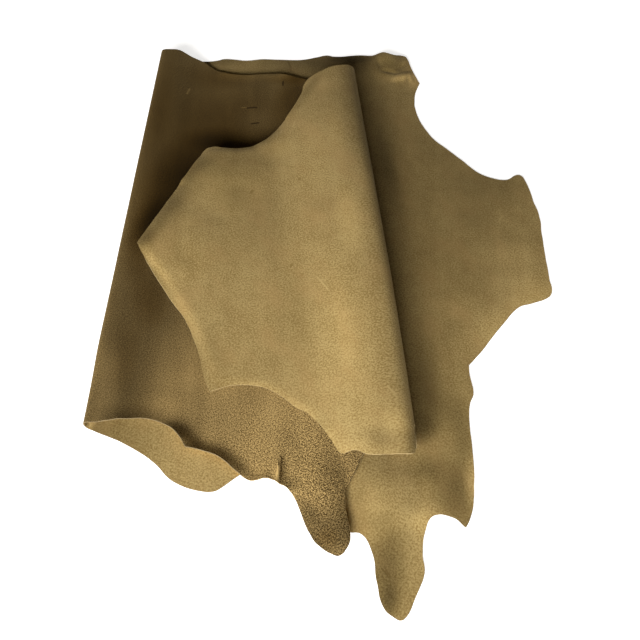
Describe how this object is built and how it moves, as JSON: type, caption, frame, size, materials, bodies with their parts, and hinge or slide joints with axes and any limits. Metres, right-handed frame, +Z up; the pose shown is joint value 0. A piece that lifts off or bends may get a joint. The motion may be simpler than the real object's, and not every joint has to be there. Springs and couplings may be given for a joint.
{
  "type": "nubuck leather hide",
  "caption": "Whole nubuck leather hide with its natural irregular edge, lying folded back and forth in loose layers, smooth above and rough suede below.",
  "frame": {"origin": "on the floor, under the middle of the folded hide's bounding box", "axes": "+Z up from the floor, +Y away from the viewer along the left fold, +X from the left fold towards the bottom layer's free side"},
  "size_m": [0.9135, 1.4535, 0.0578],
  "materials": {
    "nubuck": "matt sanded nap on the grain side, rough suede on the flesh side, dyed olive tan"
  },
  "bodies": {
    "root": {"hide": "nubuck"}
  },
  "joints": []
}
